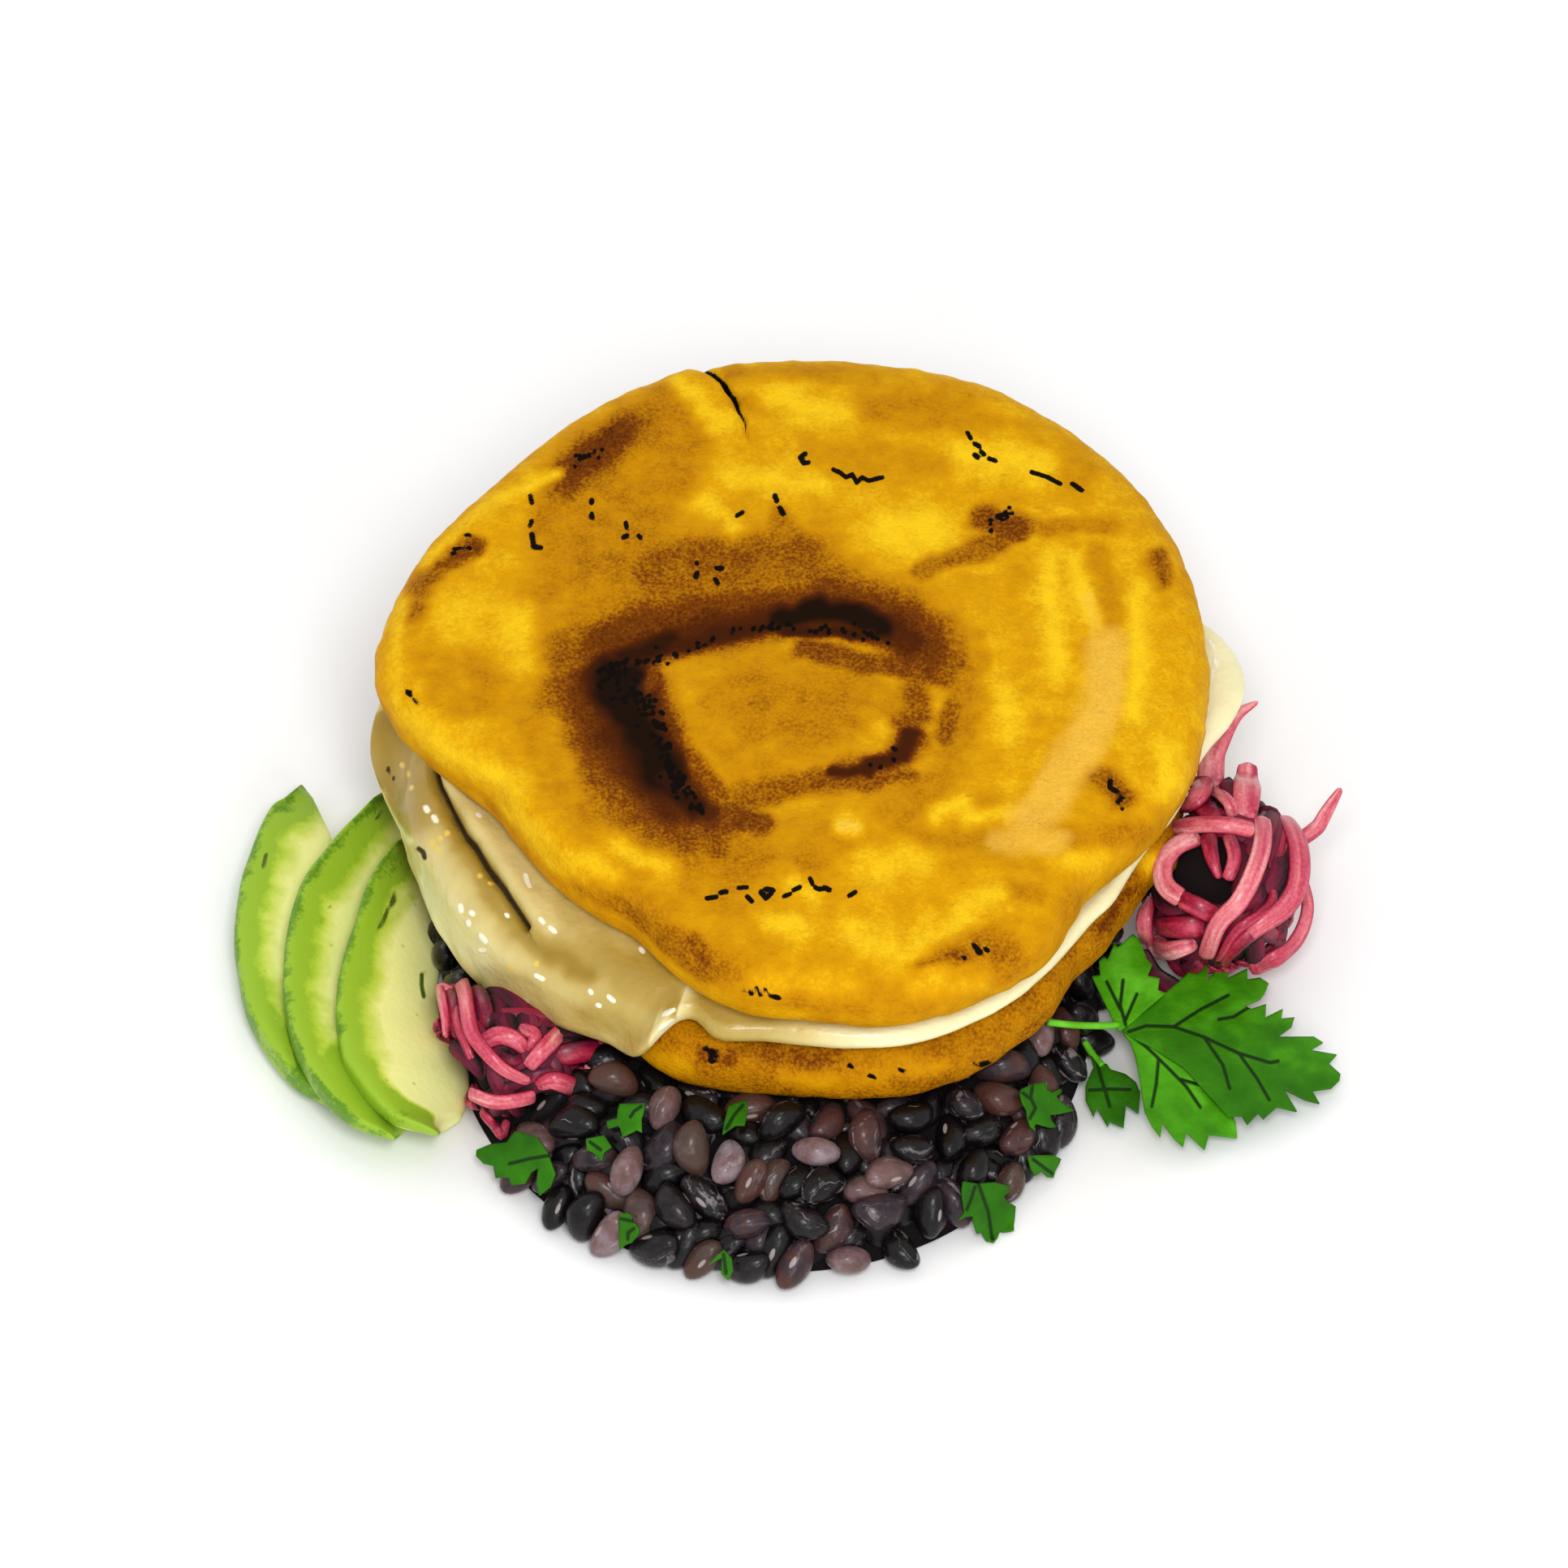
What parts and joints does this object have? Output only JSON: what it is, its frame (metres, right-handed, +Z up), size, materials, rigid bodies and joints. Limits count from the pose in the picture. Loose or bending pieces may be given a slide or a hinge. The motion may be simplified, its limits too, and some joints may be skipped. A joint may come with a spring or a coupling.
{
  "type": "filled corn cake with toppings",
  "caption": "Split griddled corn cake filled with melted cheese, resting on a mound of black beans beside pickled onion, avocado slices and coriander leaves.",
  "frame": {"origin": "on the surface that the food rests on, under the middle of the corn cake", "axes": "+Z up, -Y towards the eater, +X to the eater's right"},
  "size_m": [0.1853, 0.1603, 0.057],
  "materials": {
    "top_cake": "griddled yellow corn crust, slightly oily, scorched in places",
    "bottom_cake": "griddled yellow corn crust, slightly oily",
    "cheese_filling": "melted pale cheese, soft gloss",
    "avocado_slice_1": "ripe avocado flesh, green at the outer edge",
    "avocado_slice_2": "ripe avocado flesh, green at the outer edge",
    "avocado_slice_3": "ripe avocado flesh, green at the outer edge",
    "black_beans": "cooked black beans, glossy skins",
    "pickled_onion_right": "pickled red onion, wet",
    "pickled_onion_left": "pickled red onion, wet",
    "coriander_sprig": "fresh leaf, satin",
    "coriander_leaf": "fresh leaf, satin",
    "coriander_scrap_1": "fresh leaf, satin",
    "coriander_scrap_2": "fresh leaf, satin",
    "coriander_scrap_3": "fresh leaf, satin",
    "coriander_scrap_4": "fresh leaf, satin",
    "coriander_scrap_5": "fresh leaf, satin",
    "coriander_scrap_6": "fresh leaf, satin",
    "coriander_scrap_7": "fresh leaf, satin",
    "coriander_scrap_8": "fresh leaf, satin",
    "coriander_scrap_9": "fresh leaf, satin"
  },
  "bodies": {
    "root": {"top_cake": "top_cake", "bottom_cake": "bottom_cake", "cheese_filling": "cheese_filling", "avocado_slice_1": "avocado_slice_1", "avocado_slice_2": "avocado_slice_2", "avocado_slice_3": "avocado_slice_3", "black_beans": "black_beans", "pickled_onion_right": "pickled_onion_right", "pickled_onion_left": "pickled_onion_left", "coriander_sprig": "coriander_sprig", "coriander_leaf": "coriander_leaf", "coriander_scrap_1": "coriander_scrap_1", "coriander_scrap_2": "coriander_scrap_2", "coriander_scrap_3": "coriander_scrap_3", "coriander_scrap_4": "coriander_scrap_4", "coriander_scrap_5": "coriander_scrap_5", "coriander_scrap_6": "coriander_scrap_6", "coriander_scrap_7": "coriander_scrap_7", "coriander_scrap_8": "coriander_scrap_8", "coriander_scrap_9": "coriander_scrap_9"}
  },
  "joints": []
}
